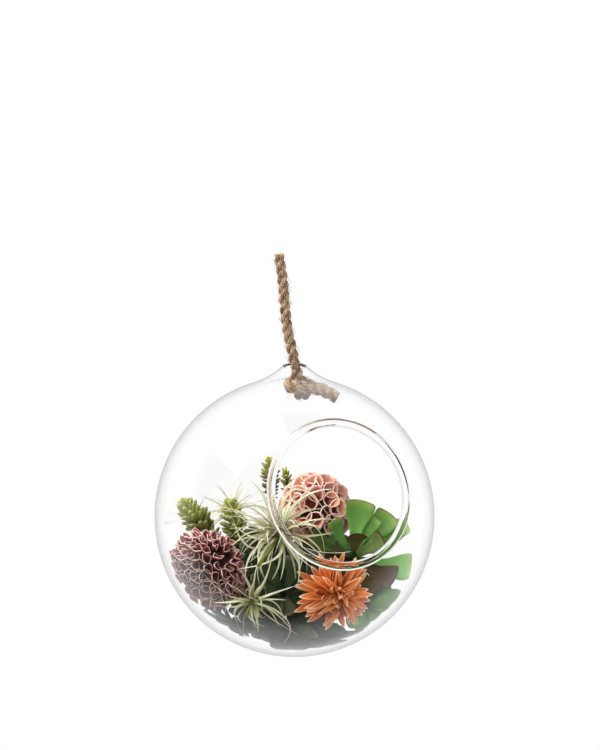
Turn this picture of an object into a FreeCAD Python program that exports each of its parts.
# Hanging glass terrarium: a blown glass globe with a round opening in its side, hung on a knotted
# rope through its neck, with flowers, air plants and succulents lying in the bowl.
# Millimetres. The origin is the rope's top end, +Z is up and the opening faces -Y.

import FreeCAD, Part
import Sketcher
import math
import os
import random

from FreeCAD import Placement, Rotation, Vector

doc = FreeCAD.newDocument("Terrarium")

# Driving sizes in millimetres, and angles in degrees.
sizeRows = [
    ("globeRadius", 100.0, "outside radius of the globe"),
    ("glassWall", 2.5, "thickness of the blown wall"),
    ("openingRadius", 48.9, "from the opening's axis to the middle of its rolled bead"),
    ("beadDiameter", 6.0, "thickness of the bead round the opening"),
    ("openingTilt", 20.0, "how far the opening looks up"),
    ("mouthRadius", 6.0, "bore of the neck, which the rope goes through"),
    ("lipRise", 9.0, "height of the lip above the globe's round top"),
    ("neckFlare", 60.0, "radius of the hollow curve from globe to neck"),
    ("fitClearance", 0.3, "gap between the glass and what rests on it"),
    ("ropeDiameter", 8.0, "thickness of the twisted rope"),
    ("hangHeight", 187.0, "from the globe's centre up to the rope's end"),
    ("hangSide", 11.3, "how far the globe hangs to the side of the rope's end"),
    ("hangTurn", -22.0, "direction of that side, round from +X"),
    ("knotWrap", 6.6, "radius of the knot's turns, to the middle of the rope"),
    ("knotSide", 4.0, "how far the knot lies to the side of the neck's axis"),
    ("knotTail", 20.0, "length of the loose end that leaves the knot"),
    ("plantedRadius", 100.0, "radius of the globe that the plants' sizes below fill"),
    ("burgundyReach", 28.5, "radius of the burgundy dahlia over its petals"),
    ("burgundyMouth", 3.8, "radius of its petals' open ends"),
    ("salmonReach", 24.0, "radius of the salmon dahlia over its petals"),
    ("salmonMouth", 5.0, "radius of its petals' open ends"),
    ("orangeReach", 26.0, "length of the orange dahlia's outer petals"),
    ("orangeWidth", 5.0, "width of its petals"),
    ("airLeafWidth", 2.6, "width of an air plant's leaf at its foot"),
    ("sedumLeaf", 9.0, "length of a sedum leaf"),
    ("paddleThick", 2.2, "thickness of the fleshy leaves"),
    ("stalkRadius", 2.0, "radius of the plants' stalks"),
]

sheet = doc.addObject("Spreadsheet::Sheet", "sizes")
for row, (name, value, note) in enumerate(sizeRows, 1):
    sheet.set("A%d" % row, note)
    sheet.set("B%d" % row, str(value))
    sheet.setAlias("B%d" % row, name)
doc.recompute()


def size(name):
    return float(sheet.get(name))


freeRadius = size("globeRadius") - size("glassWall") - size("fitClearance")
# A wider or smaller globe gets plants that fill it as well.
plantScale = size("globeRadius") / size("plantedRadius")
hangTurn = math.radians(size("hangTurn"))
hangAside = Vector(math.cos(hangTurn), math.sin(hangTurn), 0)
hangAhead = Vector(math.sin(hangTurn), -math.cos(hangTurn), 0)
globeCentre = hangAside * size("hangSide") - Vector(0, 0, size("hangHeight"))


def hangUnderRope(piece):
    # The globe and all that lies in it are drawn about the globe's centre.
    piece.Placement = Placement(globeCentre, Rotation())
    piece.setExpression("Placement.Base.x", "sizes.hangSide * cos(sizes.hangTurn)")
    piece.setExpression("Placement.Base.y", "sizes.hangSide * sin(sizes.hangTurn)")
    piece.setExpression("Placement.Base.z", "-sizes.hangHeight")


# Glass globe: one blown wall, turned about the neck, cut by the opening and rimmed with a bead.

def nameSize(sketch, constraint, name, formula):
    index = sketch.addConstraint(constraint)
    sketch.renameConstraint(index, name)
    sketch.setExpression("Constraints." + name, formula)


def originPlane(body, role):
    return next(item for item in body.Origin.OriginFeatures if item.Role == role)


def sketchOn(body, name, role):
    sketch = body.newObject("Sketcher::SketchObject", name)
    sketch.AttachmentSupport = [(originPlane(body, role), "")]
    sketch.MapMode = "FlatFace"
    return sketch


def arc(centre, radius, start, end):
    circle = Part.Circle(Vector(centre[0], centre[1], 0), Vector(0, 0, 1), radius)
    return Part.ArcOfCircle(circle, start, end)


def neckCurve():
    # The flare's circle touches the globe from outside and runs through the lip's outer edge.
    outer, wall, flare = size("globeRadius"), size("glassWall"), size("neckFlare")
    lipEdge = Vector(size("mouthRadius") + wall, outer + size("lipRise") - wall / 2, 0)
    along = ((outer + flare) ** 2 + lipEdge.Length ** 2 - flare ** 2) / (2 * lipEdge.Length)
    aside = math.sqrt((outer + flare) ** 2 - along ** 2)
    edgeWay = Vector(lipEdge).normalize()
    return lipEdge, edgeWay * along + Vector(edgeWay.y, -edgeWay.x, 0) * aside


def drawWall(sketch):
    # Outer curve, lip, bore and inner curve, from the bottom up and back.
    outer, wall, flare = size("globeRadius"), size("glassWall"), size("neckFlare")
    lipEdge, middle = neckCurve()
    lipAcross, lipHeight = lipEdge.x - wall / 2, lipEdge.y
    touch = math.atan2(middle.y, middle.x)
    edgeTurn = math.atan2(lipEdge.y - middle.y, lipEdge.x - middle.x)
    boreX = size("mouthRadius")
    boreDrop = math.sqrt((flare + wall) ** 2 - (middle.x - boreX) ** 2)
    boreTurn = math.atan2(-boreDrop, boreX - middle.x)
    bore = Vector(boreX, middle.y - boreDrop, 0)
    bottom, flareEnd = -math.pi / 2, touch - math.pi

    globe = sketch.addGeometry(arc((0, 0), outer, bottom, touch))
    neck = sketch.addGeometry(arc(middle, flare, edgeTurn, flareEnd))
    lip = sketch.addGeometry(arc((lipAcross, lipHeight), wall / 2, 0, math.pi))
    hole = sketch.addGeometry(Part.LineSegment(Vector(boreX, lipHeight, 0), bore))
    inNeck = sketch.addGeometry(arc(middle, flare + wall, boreTurn, flareEnd))
    inGlobe = sketch.addGeometry(arc((0, 0), outer - wall, bottom, touch))
    foot = sketch.addGeometry(Part.LineSegment(Vector(0, wall - outer, 0), Vector(0, -outer, 0)))

    join = Sketcher.Constraint
    sketch.addConstraint([
        join("Tangent", globe, 2, neck, 2), join("Coincident", neck, 1, lip, 1),
        join("Coincident", lip, 2, hole, 1), join("Coincident", hole, 2, inNeck, 1),
        join("Tangent", inNeck, 2, inGlobe, 2), join("Coincident", inGlobe, 1, foot, 1),
        join("Coincident", foot, 2, globe, 1), join("Coincident", globe, 3, -1, 1),
        join("Coincident", inGlobe, 3, -1, 1), join("Coincident", inNeck, 3, neck, 3),
        join("PointOnObject", globe, 1, -2), join("PointOnObject", inGlobe, 1, -2),
        join("Vertical", hole), join("Horizontal", lip, 1, lip, 3), join("Horizontal", lip, 3, lip, 2),
    ])
    nameSize(sketch, join("Radius", globe, outer), "outside", "sizes.globeRadius")
    nameSize(sketch, join("Radius", inGlobe, outer - wall), "inside", "sizes.globeRadius - sizes.glassWall")
    nameSize(sketch, join("Radius", neck, flare), "flare", "sizes.neckFlare")
    nameSize(sketch, join("Radius", lip, wall / 2), "lip", "sizes.glassWall / 2")
    nameSize(sketch, join("DistanceX", -1, 1, hole, 1, boreX), "bore", "sizes.mouthRadius")
    nameSize(sketch, join("DistanceY", -1, 1, lip, 3, lipHeight), "lipHeight",
             "sizes.globeRadius + sizes.lipRise - sizes.glassWall / 2")


def tiltedSketch(body, name):
    # Its horizontal axis is the opening's axis, from the globe's centre outwards.
    sketch = sketchOn(body, name, "YZ_Plane")
    sketch.AttachmentOffset = Placement(Vector(), Rotation(Vector(0, 0, 1), 180 - size("openingTilt")))
    sketch.setExpression("AttachmentOffset.Rotation.Angle", "180 - sizes.openingTilt")
    return sketch


def glassGlobe():
    body = doc.addObject("PartDesign::Body", "GlassGlobe")
    body.Label = "glass_globe"
    wallSketch = sketchOn(body, "WallSection", "XZ_Plane")
    drawWall(wallSketch)
    wall = body.newObject("PartDesign::Revolution", "BlownWall")
    wall.Profile = wallSketch
    wall.ReferenceAxis = (wallSketch, ["V_Axis"])
    wall.Angle = 360
    doc.recompute()

    # The bead sits on the middle of the wall, so its distance follows from its radius.
    beadAway = "sqrt((sizes.globeRadius - sizes.glassWall / 2) ^ 2 - sizes.openingRadius ^ 2)"
    radius = size("openingRadius")
    away = math.sqrt((size("globeRadius") - size("glassWall") / 2) ** 2 - radius ** 2)
    near, far = away / 2, size("globeRadius") + size("lipRise")
    cutSketch = tiltedSketch(body, "OpeningSection")
    corners = [Vector(near, 0, 0), Vector(far, 0, 0), Vector(far, radius, 0), Vector(near, radius, 0)]
    for start, end in zip(corners, corners[1:] + corners[:1]):
        cutSketch.addGeometry(Part.LineSegment(start, end))
    join = Sketcher.Constraint
    cutSketch.addConstraint([join("Coincident", i, 2, (i + 1) % 4, 1) for i in range(4)])
    cutSketch.addConstraint([
        join("Horizontal", 0), join("Horizontal", 2), join("Vertical", 1), join("Vertical", 3),
        join("PointOnObject", 0, 1, -1),
    ])
    nameSize(cutSketch, join("DistanceX", -1, 1, 0, 1, near), "near", beadAway + " / 2")
    nameSize(cutSketch, join("DistanceX", -1, 1, 0, 2, far), "far", "sizes.globeRadius + sizes.lipRise")
    nameSize(cutSketch, join("DistanceY", 1, 1, 1, 2, radius), "radius", "sizes.openingRadius")
    cut = body.newObject("PartDesign::Groove", "Opening")
    cut.Profile = cutSketch
    cut.ReferenceAxis = (cutSketch, ["H_Axis"])
    cut.Angle = 360
    doc.recompute()

    beadSketch = tiltedSketch(body, "BeadSection")
    beadSketch.addGeometry(Part.Circle(Vector(away, radius, 0), Vector(0, 0, 1), size("beadDiameter") / 2))
    nameSize(beadSketch, join("DistanceX", -1, 1, 0, 3, away), "away", beadAway)
    nameSize(beadSketch, join("DistanceY", -1, 1, 0, 3, radius), "radius", "sizes.openingRadius")
    nameSize(beadSketch, join("Diameter", 0, size("beadDiameter")), "bead", "sizes.beadDiameter")
    bead = body.newObject("PartDesign::Revolution", "RolledBead")
    bead.Profile = beadSketch
    bead.ReferenceAxis = (beadSketch, ["H_Axis"])
    bead.Angle = 360
    body.Tip = bead
    hangUnderRope(body)
    return body


# Rope: it leans to one side on its way down into the neck. Each point is how far aside of the
# neck's axis it lies, and how high above the lip.
ropeRoute = [(-8.1, 60.6), (-7.0, 42.5), (-5.3, 25.2), (-1.6, 9.0), (1.2, -5.0)]


def ropePoints():
    lip = globeCentre + Vector(0, 0, size("globeRadius") + size("lipRise"))
    return [Vector()] + [lip + hangAside * aside + Vector(0, 0, height) for aside, height in ropeRoute]


ropeBend = 0.45


def arcedWire(points):
    # Straight runs joined by tangent arcs, each as large as its two runs allow.
    edges, radii, start = [], [], points[0]
    for before, corner, after in zip(points, points[1:], points[2:]):
        back, ahead = (before - corner), (after - corner)
        half = (math.pi - back.getAngle(ahead)) / 2
        cut = ropeBend * min(back.Length, ahead.Length)
        radius = cut / math.tan(half)
        back.normalize()
        ahead.normalize()
        first, last = corner + back * cut, corner + ahead * cut
        toMiddle = (back + ahead).normalize()
        middle = corner + toMiddle * (radius / math.cos(half) - radius)
        edges.append(Part.makeLine(start, first))
        edges.append(Part.Arc(first, middle, last).toShape())
        radii.append(radius)
        start = last
    edges.append(Part.makeLine(start, points[-1]))
    return Part.Wire(edges), radii


def hangingRope():
    points = ropePoints()
    path, radii = arcedWire(points)
    radius = size("ropeDiameter") / 2
    section = Part.Wire(Part.makeCircle(radius, points[0], points[1] - points[0]))
    piece = doc.addObject("Part::Feature", "HangingRope")
    piece.Label = "hanging_rope"
    piece.Shape = path.makePipeShell([section], True, False)
    expected = math.pi * radius ** 2 * path.Length
    print("rope radii", [round(value) for value in radii], "length", round(path.Length, 1),
          "volume against section x length", round(piece.Shape.Volume / expected, 4))
    return piece


# Knot: two turns of the rope round its own end, which stop it from slipping out of the neck.

def ropeKnot():
    end, before = ropePoints()[-1], ropePoints()[-2]
    wrap, radius = size("knotWrap"), size("ropeDiameter") / 2
    # The upper turn is drawn up against the hollow curve inside the neck.
    middle = neckCurve()[1]
    away = size("neckFlare") + size("glassWall") + size("fitClearance") + radius
    seatHeight = middle.y - math.sqrt(away ** 2 - (middle.x - size("knotSide") - wrap) ** 2)
    seat = globeCentre + hangAside * size("knotSide") + Vector(0, 0, seatHeight)
    lowerTurn = seat - Vector(0, 0, radius * 1.7) - hangAside * 0.8
    tailStart = lowerTurn + hangAside * wrap + hangAhead * 1.5 + Vector(0, 0, 1)
    upright = Vector(0, 0, 1)
    turns = [
        (Part.makeCylinder(radius, size("ropeDiameter") * 1.5), end, end - before),
        (Part.makeTorus(wrap, radius), seat, upright + hangAhead * 0.1),
        (Part.makeTorus(wrap, radius), lowerTurn, upright - hangAside * 0.28 + hangAhead * 0.30),
        (Part.makeCylinder(radius, size("knotTail")), tailStart,
         hangAside * 0.93 + hangAhead * 0.2 - upright * 0.28),
    ]
    for shape, place, axis in turns:
        shape.Placement = Placement(place, Rotation(upright, axis))
    shapes = [turn[0] for turn in turns]
    knot = doc.addObject("Part::Feature", "RopeKnot")
    knot.Label = "rope_knot"
    knot.Shape = shapes[0].fuse(shapes[1:]).Solids[0]
    return knot


# Plants. Each is drawn about the globe's centre. A place in the bowl is given as degrees round from
# the opening's side, degrees below the level of the centre and millimetres in from the glass.

goldenTurn = math.pi * (3 - math.sqrt(5))


def heading(turn, rise):
    turn, rise = math.radians(turn), math.radians(rise)
    return Vector(math.sin(turn) * math.cos(rise), -math.cos(turn) * math.cos(rise), math.sin(rise))


def inBowl(turn, dip, inset):
    # A place in the bowl: degrees round from the opening, degrees down, and how far in from the glass.
    return heading(turn, -dip) * (freeRadius - inset * plantScale)


def straightOut(point):
    # The place on the glass that lies nearest to a point in the bowl.
    return Vector(point).normalize() * (freeRadius + size("fitClearance"))


def keepInside(point, margin=0.0):
    # What would go through the glass lies against it instead.
    reach = freeRadius - margin
    return point * (reach / point.Length) if point.Length > reach else point


def facetSolid(points, faces):
    sides = [Part.Face(Part.makePolygon([points[i] for i in face] + [points[face[0]]])) for face in faces]
    solid = Part.Solid(Part.Shell(sides))
    if solid.Volume < 0:
        solid.reverse()
    return solid


def ringFaces(rings, corners):
    # Triangles between one ring of corners and the next.
    faces = []
    for ring in range(rings - 1):
        for i in range(corners):
            a, b = ring * corners + i, ring * corners + (i + 1) % corners
            faces += [(a, b, b + corners), (a, b + corners, a + corners)]
    return faces


def leaf(spine, widths, thickness, side):
    # A pointed leaf along a bent spine: flat above and keeled below, with its last point as the tip.
    points = []
    for i, width in enumerate(widths):
        along = (spine[i + 1] - spine[max(i - 1, 0)]).normalize()
        across = (side - along * side.dot(along)).normalize()
        half, lift = across * (width / 2), across.cross(along) * (thickness / 2)
        points += [spine[i] - half, spine[i] + lift, spine[i] + half, spine[i] - lift]
    rings, corners = len(widths), 4
    first = (rings - 1) * corners
    faces = [(3, 2, 1, 0)] + ringFaces(rings, corners)
    faces += [(first + i, first + (i + 1) % corners, len(points)) for i in range(corners)]
    return facetSolid([keepInside(point) for point in points + [spine[-1]]], faces)


def blade(spine, widths, side):
    # The narrow leaf of an air plant: three-sided, so that it stays slim.
    points = []
    for i, width in enumerate(widths):
        along = (spine[i + 1] - spine[max(i - 1, 0)]).normalize()
        across = (side - along * side.dot(along)).normalize()
        points += [spine[i] - across * (width / 2), spine[i] + across * (width / 2),
                   spine[i] - across.cross(along) * (width * 0.45)]
    rings, corners = len(widths), 3
    first = (rings - 1) * corners
    faces = [(2, 1, 0)] + ringFaces(rings, corners)
    faces += [(first + i, first + (i + 1) % corners, len(points)) for i in range(corners)]
    return facetSolid([keepInside(point) for point in points + [spine[-1]]], faces)


def stalk(start, end, radius):
    # A six-sided stalk whose foot is cut to the curve of the glass.
    corners = 6
    along = (end - start).normalize()
    across = along.cross(Vector(0.3, 0.9, 0.2)).normalize()
    other = along.cross(across)
    rim = [across * (radius * math.cos(i * math.pi / 3)) + other * (radius * math.sin(i * math.pi / 3))
           for i in range(corners)]
    points = [start + way for way in rim] + [keepInside(end + way) for way in rim] + [keepInside(end)]
    faces = [tuple(range(corners - 1, -1, -1))] + ringFaces(2, corners)
    faces += [(corners + i, corners + (i + 1) % corners, 2 * corners) for i in range(corners)]
    return facetSolid(points, faces)


def facetBall(centre, axis, radius, sides=9, bands=5):
    # A ball with flat sides, the heart that petals grow from.
    turn = Rotation(Vector(0, 0, 1), axis)
    points = []
    for band in range(1, bands):
        lean = math.pi * band / bands
        for i in range(sides):
            way = 2 * math.pi * i / sides
            spot = Vector(math.sin(lean) * math.cos(way), math.sin(lean) * math.sin(way), math.cos(lean))
            points.append(centre + turn.multVec(spot) * radius)
    faces = [tuple(range(sides))[::-1]] + [tuple(range((bands - 2) * sides, (bands - 1) * sides))]
    for band in range(bands - 2):
        for i in range(sides):
            a, b = band * sides + i, band * sides + (i + 1) % sides
            faces.append((a, b, b + sides, a + sides))
    return facetSolid(points, faces)


def cup(root, rim, radius, corners=6):
    # A petal rolled into an open cup: a cone from its root to its mouth, with a hollow in it.
    axis = (rim - root).normalize()
    across = axis.cross(Vector(0.2, 0.35, 0.9)).normalize()
    other = axis.cross(across)
    mouth = []
    for i in range(corners):
        way = 2 * math.pi * i / corners
        scallop = axis * (radius * 0.22 * (-1) ** i)
        mouth.append(keepInside(rim + across * (radius * math.cos(way)) + other * (radius * math.sin(way)) + scallop))
    hollow = root + (rim - root) * 0.55
    faces = [(corners, i, (i + 1) % corners) for i in range(corners)]
    faces += [(corners + 1, (i + 1) % corners, i) for i in range(corners)]
    return facetSolid(mouth + [root, hollow], faces)


def grown(name):
    # A plant's size, in step with the globe.
    return size(name) * plantScale


def spiral(count, lowest):
    # Even ways out from a flower's heart, as angle round its axis and height along it.
    for i in range(count):
        height = 1 - (1 - lowest) * (i + 0.5) / count
        yield i * goldenTurn, height


def fused(name, pieces):
    plant = doc.addObject("Part::Feature", name.title().replace("_", ""))
    plant.Label = name
    shape = pieces[0].fuse(pieces[1:])
    plant.Shape = shape.Solids[0] if len(shape.Solids) == 1 else shape
    print(name, "solids", len(shape.Solids), "faces", len(shape.Faces))
    hangUnderRope(plant)
    return plant


def ballDahlia(name, centre, axis, reach, mouth, count, lean, flatten, foot):
    # Cupped petals all round, small at the flower's middle, that lean towards the way it faces.
    core = reach * 0.62
    frame = Rotation(Vector(0, 0, 1), axis)
    pieces = [facetBall(centre, axis, core)]
    for way, height in spiral(count, -0.72):
        flat = math.sqrt(1 - height ** 2)
        out = frame.multVec(Vector(flat * math.cos(way), flat * math.sin(way), height * (1 - flatten)))
        root = centre + out * (core * 0.6)
        going = (out + axis * (lean * (1 - height ** 2))).normalize()
        rim = keepInside(root + going * (reach - core * 0.6), mouth * 0.1)
        pieces.append(cup(root, rim, mouth * (1 - 0.35 * max(height, 0) ** 2)))
    pieces.append(stalk(centre, foot, grown("stalkRadius")))
    return fused(name, pieces)


def spikyDahlia(name, centre, axis, reach, width, count):
    # Pointed petals that open from a tight middle to a flat ring.
    chance = random.Random(4)
    core = reach * 0.3
    frame = Rotation(Vector(0, 0, 1), axis)
    pieces = [facetBall(centre, axis, core)]
    for way, height in spiral(count, -0.45):
        flat = math.sqrt(1 - height ** 2)
        out = frame.multVec(Vector(flat * math.cos(way), flat * math.sin(way), height))
        length = reach * (0.62 + 0.38 * min(1.0, 1.5 - 1.1 * height)) * chance.uniform(0.9, 1.0)
        start, tip = centre + out * (core * 0.5), keepInside(centre + out * length)
        middle = keepInside(start + (tip - start) * 0.55, width * 0.45) + axis * (width * 0.12)
        side = out.cross(axis + out * 0.01)
        if side.Length < 0.1:
            side = frame.multVec(Vector(1, 0, 0))
        pieces.append(leaf([start, middle, tip], [width * 0.5, width], width * 0.4, side))
    pieces.append(stalk(centre, straightOut(centre), grown("stalkRadius")))
    return fused(name, pieces)


def curlyPlant(name, crown, leaves, heart=4.0):
    # Slim leaves from a small bulb. Each is given as the degrees round and up that it starts with,
    # those that it ends with, and its length.
    width, heart = grown("airLeafWidth"), heart * plantScale
    inward = Vector(crown).normalize() * -1
    pieces = [facetBall(crown, inward, heart, 8, 4)]
    bends = 5
    for turn, rise, endTurn, endRise, length in leaves:
        start, end = heading(turn, rise), heading(endTurn, endRise)
        spine, widths = [crown + start * (heart * 0.5)], [width]
        for i in range(bends):
            share = (i + 0.5) / bends
            going = (start * (1 - share) + end * share).normalize()
            spine.append(keepInside(spine[-1] + going * (length * plantScale / bends), width * 0.5))
            widths.append(width * (1 - 0.7 * ((i + 1) / bends) ** 1.5))
        pieces.append(blade(spine, widths[:-1], start.cross(inward + Vector(0.03, 0.02, 0))))
    pieces.append(stalk(crown, straightOut(crown), grown("stalkRadius") * 0.7))
    return fused(name, pieces)


def sprayedLeaves(axis, shortest, longest, count, lowest, seed):
    # The leaves of a small air plant: all round its axis, hanging over at their ends.
    chance = random.Random(seed)
    frame = Rotation(Vector(0, 0, 1), axis)
    leaves = []
    for way, height in spiral(count, lowest):
        flat = math.sqrt(1 - height ** 2)
        out = frame.multVec(Vector(flat * math.cos(way), flat * math.sin(way), height))
        turn, rise = math.degrees(math.atan2(out.x, -out.y)), math.degrees(math.asin(out.z))
        leaves.append((turn, rise, turn + chance.uniform(-30, 30), rise - chance.uniform(15, 40),
                       chance.uniform(shortest, longest)))
    return leaves


def sedumSprig(name, foot, bend, tip, count, girth=1.0):
    # Plump leaves in a spiral up a bent stalk, fullest near the top and closing to a bud at its tip.
    radius = grown("stalkRadius") * 0.8
    stem = tip - bend
    spine = [bend - stem * 0.01, bend + stem * 0.5, tip]
    pieces = [leaf(spine, [radius * 2, radius * 1.6], radius * 1.6, stem.cross(Vector(0.2, 1, 0.1))),
              stalk(bend, foot, radius)]
    frame = Rotation(Vector(0, 0, 1), stem)
    for i in range(count):
        share = i / (count - 1)
        way = i * goldenTurn
        out = frame.multVec(Vector(math.cos(way), math.sin(way), 0.35 + 1.6 * share ** 4)).normalize()
        root = bend + stem * (share * 0.97)
        length = grown("sedumLeaf") * girth * (0.85 + 0.45 * math.sin(math.pi * share ** 1.3))
        pieces.append(bud(root, out, length, length * 0.45))
    return fused(name, pieces)


def bud(root, out, length, width):
    # One plump pointed leaf: two four-sided pyramids, base to base.
    across = out.cross(Vector(0.3, 0.1, 0.9)).normalize()
    other = out.cross(across)
    belly = root + out * (length * 0.6)
    points = [belly + across * (width / 2), belly + other * (width / 2.4), belly - across * (width / 2),
              belly - other * (width / 2.4), root - out * 0.4, root + out * length]
    points = [keepInside(point) for point in points]
    faces = [(4, (i + 1) % 4, i) for i in range(4)] + [(5, i, (i + 1) % 4) for i in range(4)]
    return facetSolid(points, faces)


spoonShape = [(0.0, 0.35), (0.35, 0.62), (0.68, 1.0), (0.9, 0.78)]
fanShape = [(0.0, 0.22), (0.35, 0.5), (0.7, 0.92), (0.93, 0.9)]


def fleshyLeaf(crown, going, length, width, shape, cupping, facing):
    # A thick leaf, hollowed a little on the side that its plant faces.
    thickness = grown("paddleThick")
    lift = (facing - going * going.dot(facing)).normalize()
    spine = []
    for share, _ in shape + [(1.0, 0)]:
        point = crown + going * (length * share) - lift * (cupping * length * math.sin(math.pi * share))
        spine.append(keepInside(point, width * 0.12 + thickness * 0.5))
    widths = [width * part for _, part in shape]
    return leaf(spine, widths, thickness, going.cross(lift))


heartRadius = 3.5 * plantScale


def onHeart(crown, above):
    # The foot of a stalk that stands on another plant's heart.
    return crown + (above - crown).normalize() * (heartRadius + size("fitClearance"))


def rosette(name, crown, facing, leaves, foot, shape=spoonShape, cupping=0.08):
    # Fleshy leaves from one crown, each given as degrees round, degrees up, length and width.
    pieces = [facetBall(crown, facing, heartRadius, 8, 4)]
    for turn, rise, length, width in leaves:
        pieces.append(fleshyLeaf(crown, heading(turn, rise), length * plantScale, width * plantScale, shape,
                                 cupping, facing))
    pieces.append(stalk(crown, foot, grown("stalkRadius")))
    return fused(name, pieces)


paddleLeaves = [
    (134, 66, 42, 21), (-115, 61, 30, 14), (111, 50, 34, 15), (107, 35, 46, 20), (-2, 63, 21, 15),
    (63, 28, 26, 18), (-72, 26, 19, 13), (101, 20, 53, 15), (79, -15, 49, 24), (54, -29, 35, 23),
    (14, -45, 33, 20),
]
lowerPaddleLeaves = [
    (85, 11, 30, 15), (82, -6, 22, 15), (65, -48, 16, 15), (-48, -66, 22, 14), (116, 20, 29, 14),
    (-77, -41, 21, 14),
]
bottomLeaves = [
    (41, -13, 21, 18), (86, -32, 34, 20), (78, -10, 40, 20), (91, -72, 21, 21), (-95, -45, 22, 20),
    (-94, -12, 31, 19), (-79, 12, 32, 17), (97, 4, 44, 18), (-176, -35, 45, 22), (128, -31, 50, 22),
]
leftLeaves = [
    (-109, 24, 19, 14), (-142, -13, 18, 13), (-158, -78, 12, 13), (31, -47, 16, 13), (-176, -12, 14, 13),
    (38, 27, 16, 12), (-146, 2, 31, 12),
]
roundLeaves = [
    (-71, 26, 21, 12), (-7, -27, 23, 13), (-127, 63, 31, 11), (90, 61, 24, 9), (144, 57, 29, 11),
    (-119, 29, 26, 13), (-121, -1, 28, 14), (-76, -19, 24, 12), (90, 29, 19, 14), (72, -18, 18, 14),
    (175, 50, 40, 14), (-159, 35, 42, 15), (-165, 17, 34, 15), (137, 43, 46, 14), (-31, -19, 25, 8),
]

largeAirLeaves = [
    (-135, 65, -175, 45, 41), (-165, 30, 135, 50, 49), (-75, 60, -155, 0, 42), (-75, 20, 170, 15, 55),
    (-50, -5, -170, 25, 46), (-50, 30, -90, -50, 41), (-70, -35, -170, 70, 49), (-165, 50, 175, 40, 47),
    (-90, 65, 140, 30, 41), (95, 60, 90, -5, 40), (135, 60, 100, -5, 62), (60, 40, 105, -15, 45),
    (62, 0, 118, 0, 43), (85, 40, -60, -85, 54), (60, 20, 60, -65, 38), (35, -20, 120, 0, 59),
    (165, 70, 60, -60, 80), (0, -15, -85, -70, 36), (20, 0, -90, -75, 46), (10, -25, 25, -20, 43),
    (0, -15, -115, -5, 57), (140, 30, 145, 50, 38), (170, 30, -145, -5, 39), (-20, 40, -115, -30, 44),
]
smallAirLeaves = [
    (-15, 75, 105, 75, 26), (40, 50, 85, 85, 41), (-20, 60, -90, 50, 31), (-60, 40, -95, 30, 32),
    (-80, 10, -115, 45, 43), (-110, 5, -90, -15, 34), (-70, -10, -140, -5, 36), (-5, -30, 170, -55, 28),
    (-60, -35, 155, -60, 29), (12, 8, 112, -55, 40), (30, 0, -172, -37, 60), (10, -20, 115, -30, 45),
    (15, 25, 60, 20, 37), (15, 20, 50, 0, 29), (-10, 5, 35, -5, 20), (-45, 30, 40, 60, 23),
]

# The round-leaved sprig stands on the heart of the rosette at the bottom.
bottomCrown = inBowl(-25, 60, 17)
roundCrown = inBowl(-36, 54, 37)

parts = [
    glassGlobe(),
    hangingRope(),
    ropeKnot(),
    ballDahlia("burgundy_dahlia", inBowl(-95, 29, 22.5), heading(35, 45), grown("burgundyReach"),
               grown("burgundyMouth"), 105, 0.55, 0.16, inBowl(-105, 62, -4)),
    ballDahlia("salmon_dahlia", inBowl(129, 1, 64.7), heading(-5, 29), grown("salmonReach"),
               grown("salmonMouth"), 50, 0.25, 0.0, inBowl(129, 75, -4)),
    spikyDahlia("orange_dahlia", inBowl(4, 36, 22.0), heading(6, 12), grown("orangeReach"),
                grown("orangeWidth"), 60),
    curlyPlant("large_air_plant", inBowl(-37, 10, 55), largeAirLeaves),
    curlyPlant("small_air_plant", inBowl(-48, 36.5, 16.3), smallAirLeaves),
    curlyPlant("rear_air_plant", inBowl(-167, 8, 15), sprayedLeaves(heading(-120, 60), 22, 34, 22, 0.15, 8), 3.0),
    curlyPlant("left_air_plant", inBowl(-141, 8, 12), sprayedLeaves(heading(-100, 45), 14, 23, 14, 0.25, 9), 2.6),
    sedumSprig("left_sedum_sprig", inBowl(-120, 52, -3), inBowl(-127, 24, 34), inBowl(-127, -2, 14), 48, 1.0),
    sedumSprig("middle_sedum_sprig", inBowl(-150, 64, -3), inBowl(-150, 38, 34), inBowl(-149, -1, 38), 52, 0.95),
    sedumSprig("rear_sedum_sprig", inBowl(174, 50, -3), inBowl(174, 0, 34), inBowl(174, -23, 23), 34, 0.75),
    sedumSprig("short_sedum_sprig", inBowl(163, 78, -3), inBowl(160, 2, 46), inBowl(166, -26, 43), 26, 0.6),
    rosette("paddle_plant", inBowl(58, 34, 46.7), heading(-5, 45), paddleLeaves, inBowl(75, 62, -3), fanShape),
    rosette("lower_paddle_plant", inBowl(47, 48, 15.5), heading(-10, 40), lowerPaddleLeaves,
            inBowl(50, 58, -3)),
    rosette("round_leaf_sprig", roundCrown, heading(-22, 50), roundLeaves, onHeart(bottomCrown, roundCrown)),
    rosette("bottom_rosette", bottomCrown, -heading(-25, -45), bottomLeaves, inBowl(-25, 66, -3)),
    rosette("left_leaf_sprig", inBowl(-67, 49, 9), -heading(-67, -49), leftLeaves, inBowl(-67, 56, -3)),
]
doc.recompute()

for item in doc.Objects:
    if "Invalid" in item.State or "Error" in item.State:
        raise RuntimeError(item.Name + " did not build: " + str(item.State))
for piece in parts:
    if piece.Shape.isNull() or not piece.Shape.isValid():
        raise RuntimeError(piece.Label + " has no valid shape")

os.makedirs("parts", exist_ok=True)
for piece in parts:
    piece.Shape.exportStep("parts/" + piece.Label + ".step")
    print(piece.Label, "solids", len(piece.Shape.Solids), "volume", round(piece.Shape.Volume))
